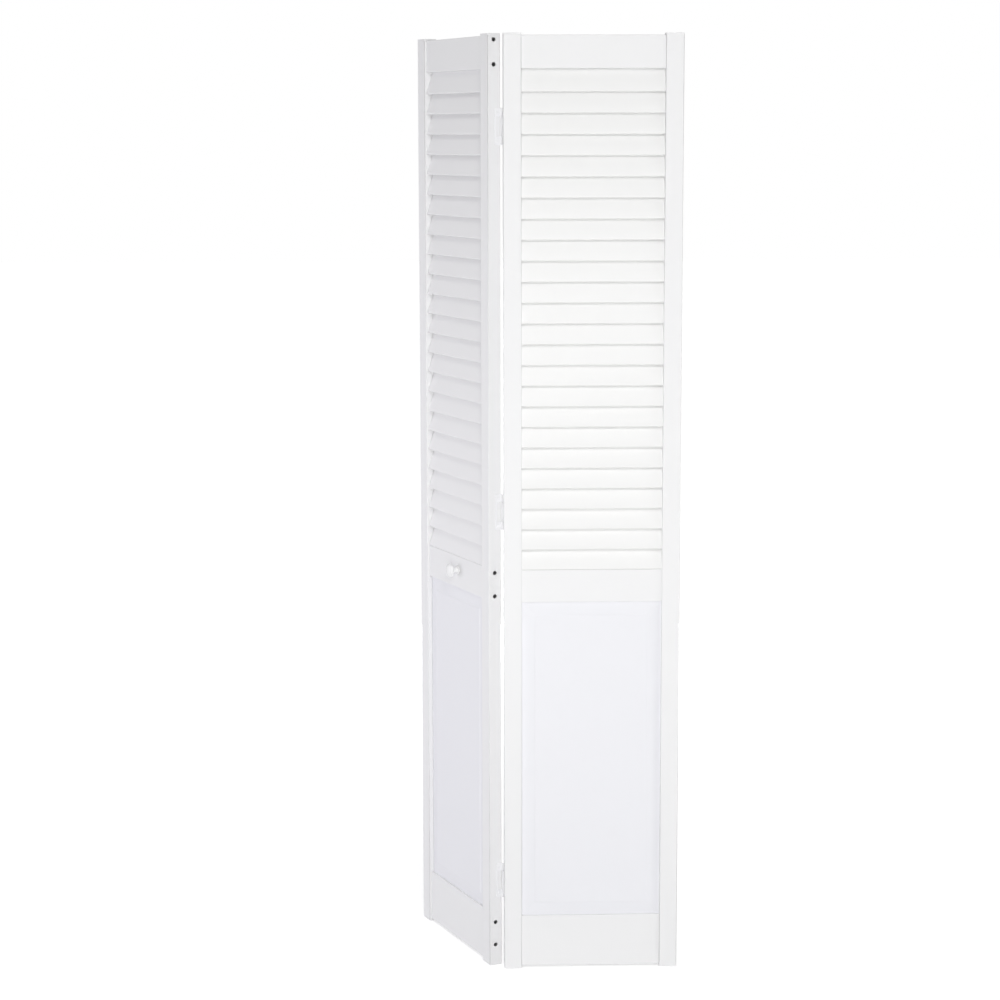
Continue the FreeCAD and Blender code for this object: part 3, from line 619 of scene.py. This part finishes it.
front = leafMatrix("lead", knob["along"], -railFace, knob["height"])
mesh = meshFrom(lathe(knobOutline(), knob["steps"]), "round_knob",
                front @ Matrix.Rotation(math.pi / 2, 4, "X"), knob["smooth"])
place("round_knob", mesh, finishes["knob"], "lead", ["knob"])

# screws: a turned outline of (radius, height), with a cross recess in its top
screwLook = {"steps": 32, "arm": 0.28, "taper": 0.62, "smooth": 35}
knobScrew = {
    "outline": [(0.0, -0.0284), (0.002, -0.0284), (0.002, 0.0), (0.0041, 0.0),
                (0.0042, 0.0002), (0.0041, 0.0008), (0.0037, 0.0014), (0.003, 0.0018),
                (0.0022, 0.002), (0.0, 0.002)],
    "recess": 0.0016,
    "recessDepth": 0.0012,
}
hingeScrew = {
    "outline": [(0.0, -0.0128), (0.0005, -0.0128), (0.00143, -0.0102), (0.00143, 0.0),
                (0.00255, 0.0), (0.0026, 0.0001), (0.0026, 0.00042), (0.00245, 0.00072),
                (0.0021, 0.0009), (0.0017, 0.00098), (0.0, 0.00098)],
    "recess": 0.00135,
    "recessDepth": 0.0007,
}


def screwWork(screw):
    work = lathe(screw["outline"], screwLook["steps"])
    top = max(vert.co.z for vert in work.verts)
    lid = [face for face in work.faces if all(vert.co.z > top - tiny for vert in face.verts)]
    bmesh.ops.delete(work, geom=lid, context="FACES_ONLY")
    loose = [vert for vert in work.verts if not vert.link_faces]
    bmesh.ops.delete(work, geom=loose, context="VERTS")
    rim = [edge for edge in work.edges if edge.is_boundary]
    arm, reach = screw["recess"] * screwLook["arm"], screw["recess"]
    cross = [(arm, arm), (arm, reach), (-arm, reach), (-arm, arm), (-reach, arm),
             (-reach, -arm), (-arm, -arm), (-arm, -reach), (arm, -reach), (arm, -arm),
             (reach, -arm), (reach, arm)]
    taper, foot = screwLook["taper"], top - screw["recessDepth"]
    mouth = addLoop(work, [(x, y, top) for x, y in cross])
    floor = addLoop(work, [(x * taper, y * taper, foot) for x, y in cross])
    bridge(work, mouth, floor)
    work.faces.new(floor)
    edges = [work.edges.get((a, b)) for a, b in zip(mouth, mouth[1:] + mouth[:1])]
    bmesh.ops.triangle_fill(work, use_beauty=True, use_dissolve=False, edges=rim + edges)
    return work


back = leafMatrix("lead", knob["along"], railFace, knob["height"])
mesh = meshFrom(screwWork(knobScrew), "knob_back_screw",
                back @ Matrix.Rotation(-math.pi / 2, 4, "X"), screwLook["smooth"])
place("knob_back_screw", mesh, finishes["zinc"], "lead", ["knob_screw"])
print("knob made")

# hinges: plates, pins, and screws that a tree sets on a mesh of their spots
hinge = {
    "centres": {"lower": 0.1905, "middle": 1.0, "upper": 1.8095},
    "halfHeight": 0.0381,
    "plate": 0.0016,
    "screwLine": 0.0068,
    "pivotReach": 0.012,  # how far a plate's screws stand from its middle
    "leadReach": 0.02955,
    "screwTurn": 1.5,  # the recesses lie at random angles up to this
    "screwSeed": 7,
    "pin": 0.0015,
    "pinEase": 0.0004,
    "pinTip": 0.7,
    "pinSteps": 32,
    "pinSmooth": 40,
}


def screwTree(template):
    w, given = startTree("hinge screws", [
        ("Turn", "Float"), ("Random Turn", "Float"), ("Seed", "Int"), ("Material", "Material")])
    screw = w.make("GeometryNodeObjectInfo", {"transform_space": "ORIGINAL"},
                   {"Object": template}, out="Geometry")
    aim = w.make("ShaderNodeCombineXYZ", inputs={"Y": given["Turn"]})
    heads = w.make("GeometryNodeInstanceOnPoints",
                   inputs={"Points": given["Geometry"], "Instance": screw, "Rotation": aim})
    spin = w.make("FunctionNodeRandomValue", {"data_type": "FLOAT"},
                  {2: 0.0, 3: given["Random Turn"], "Seed": given["Seed"]}, out=1)
    about = w.make("ShaderNodeCombineXYZ", inputs={"Z": spin})
    spun = w.make("GeometryNodeRotateInstances",
                  inputs={"Instances": heads, "Rotation": about, "Local Space": True})
    return endTree(w, spun, given["Material"])


template = bpy.data.objects.new(
    "hinge screw", meshFrom(screwWork(hingeScrew), "hinge screw", Matrix.Identity(4)))
bpy.context.scene.collection.objects.link(template)
tree = screwTree(template)
for leaf, side in leaves.items():
    face = side * (door["hingeGap"] / 2 - hinge["plate"])
    depth = door["thickness"] / 2 - door["axisDepth"] - hinge["screwLine"]
    spots = bpy.data.meshes.new(leaf + " hinge screw spots")
    spots.from_pydata([(face, depth, centre + sign * hinge[leaf + "Reach"])
                       for centre in hinge["centres"].values() for sign in (-1, 1)], [], [])
    mesh = grown(tree, spots, {
        "Turn": -side * math.pi / 2, "Random Turn": hinge["screwTurn"],
        "Seed": hinge["screwSeed"], "Material": finishes["hinge"]})
    mesh.transform(leafMatrix(leaf, 0.0, door["axisDepth"]))
    smoothed(mesh, screwLook["smooth"])
    place(leaf + "_hinge_screw_set", mesh, finishes["hinge"], leaf,
          [leaf + "_hinge_screws"])
bpy.data.objects.remove(template)

half, radius, ease = hinge["halfHeight"], hinge["pin"], hinge["pinEase"]
pinOutline = [(0.0, -half), (radius * hinge["pinTip"], -half), (radius, -half + ease),
              (radius, half - ease), (radius * hinge["pinTip"], half), (0.0, half)]
for name, centre in hinge["centres"].items():
    for plate, leaf in (("outer", "lead"), ("inner", "pivot")):
        softened("%s_hinge_%s_plate" % (name, plate), finishes["hinge"], leaf,
                 easing["plate"])
    mesh = meshFrom(lathe(pinOutline, hinge["pinSteps"]), name + "_pin",
                    leafMatrix("lead", 0.0, door["axisDepth"], centre), hinge["pinSmooth"])
    place(name + "_pin", mesh, finishes["hinge"], "lead",
          [name + "_hinge_pin"])
print("hinges made")

view = {
    "lens": 87.216,
    "sensor": 36.0,
    "clipEnd": 100.0,
    "spot": (-0.54622, -5.06877, 1.79106),
    "right": (0.99933286, -0.03646635, -0.0020084),
    "up": (0.00740935, 0.14858508, 0.98887187),
}
camera = bpy.data.objects.new("camera", bpy.data.cameras.new("camera"))
bpy.context.scene.collection.objects.link(camera)
camera.data.lens = view["lens"]
camera.data.sensor_width = view["sensor"]
camera.data.clip_end = view["clipEnd"]
right, up = Vector(view["right"]), Vector(view["up"])
turn = Matrix((right, up, right.cross(up))).transposed().to_4x4()
camera.matrix_world = Matrix.Translation(Vector(view["spot"])) @ turn
bpy.context.scene.camera = camera
print("camera set")

# studio: five soft boxes, a white world that lights less than it shows, and a pale floor
lamps = {
    "front": {"spot": (-0.8, -3.4, 0.5), "aim": (-0.2, 0.0, 0.9), "size": 1.4, "watts": 38.0},
    "left": {"spot": (-2.5, 0.3, 0.95), "aim": (-0.4, 0.2, 0.9), "size": 1.4, "watts": 12.2,
             "tone": (0.93, 0.91, 1.0)},
    "above": {"spot": (-0.1, -4.2, 3.5), "aim": (-0.2, 0.0, 1.0), "size": 0.4, "watts": 50.0},
    "right": {"spot": (3.2, -2.0, 0.8), "aim": (-0.2, 0.0, 0.8), "size": 1.6, "watts": 22.0},
    "back": {"spot": (-0.2, 3.8, 0.6), "aim": (-0.3, 0.0, 1.0), "size": 1.6, "watts": 48.0},
}
studio = {
    "world": 0.40,
    "floor": 0.86,
    "floorReach": 30,
    "floorDrop": 0.0005,
    "foot": (-0.25, 0.1, 0.0),
    "footGlow": 0.46,  # leaves room for a soft shadow at the door's foot
    "farGlow": 0.70,  # brings the floor up to white
    "glowFrom": 0.4,
    "glowTo": 4.0,
}

for name, look in lamps.items():
    light = bpy.data.lights.new(name + " softbox", "AREA")
    light.energy, light.size = look["watts"], look["size"]
    light.color = look.get("tone", (1.0, 1.0, 1.0))
    lamp = bpy.data.objects.new(name + " softbox", light)
    bpy.context.scene.collection.objects.link(lamp)
    aim = Vector(look["aim"]) - Vector(look["spot"])
    lamp.location = look["spot"]
    lamp.rotation_euler = aim.to_track_quat("-Z", "Y").to_euler()


def backdropRays(w):  # 1 for what is seen, straight or in a gloss, and 0 for what only lights
    rays = w.make("ShaderNodeLightPath", out="Is Camera Ray")
    path = rays.socket.node.outputs
    seen = w.maths("MAXIMUM", rays, Wire(w.tree, path["Is Glossy Ray"]))
    return w.maths("MAXIMUM", seen, Wire(w.tree, path["Is Transmission Ray"]))


world = bpy.data.worlds.new("studio")
bpy.context.scene.world = world
world.use_nodes = True
world.node_tree.nodes.clear()
w = Wire(world.node_tree)
strength = studio["world"] + backdropRays(w) * (1 - studio["world"])
glow = w.make("ShaderNodeBackground", inputs={"Color": (1, 1, 1, 1), "Strength": strength})
w.make("ShaderNodeOutputWorld", inputs={"Surface": glow})

reach = studio["floorReach"]
floorMesh = bpy.data.meshes.new("floor")
floorMesh.from_pydata([(-reach, -reach, 0), (reach, -reach, 0), (reach, reach, 0),
                       (-reach, reach, 0)], [], [(0, 1, 2, 3)])
floor = bpy.data.objects.new("floor", floorMesh)
floor.location.z = -studio["floorDrop"]
bpy.context.scene.collection.objects.link(floor)
material, w = blankMaterial("pale floor")
where = w.make("ShaderNodeTexCoord", out="Object")
away = w.make("ShaderNodeVectorMath", {"operation": "DISTANCE"}, {0: where, 1: studio["foot"]},
              out="Value")
level = w.make("ShaderNodeMapRange", inputs={
    "Value": away, "From Min": studio["glowFrom"], "From Max": studio["glowTo"],
    "To Min": studio["footGlow"], "To Max": studio["farGlow"]})
matt = w.make("ShaderNodeBsdfDiffuse", inputs={"Color": tint((studio["floor"],) * 3)})
lift = w.make("ShaderNodeEmission", inputs={"Color": level, "Strength": backdropRays(w)})
both = w.make("ShaderNodeAddShader", inputs={0: matt, 1: lift})
w.make("ShaderNodeOutputMaterial", inputs={"Surface": both})
floorMesh.materials.append(material)
bpy.context.scene.view_settings.view_transform = "Standard"
print("studio set")
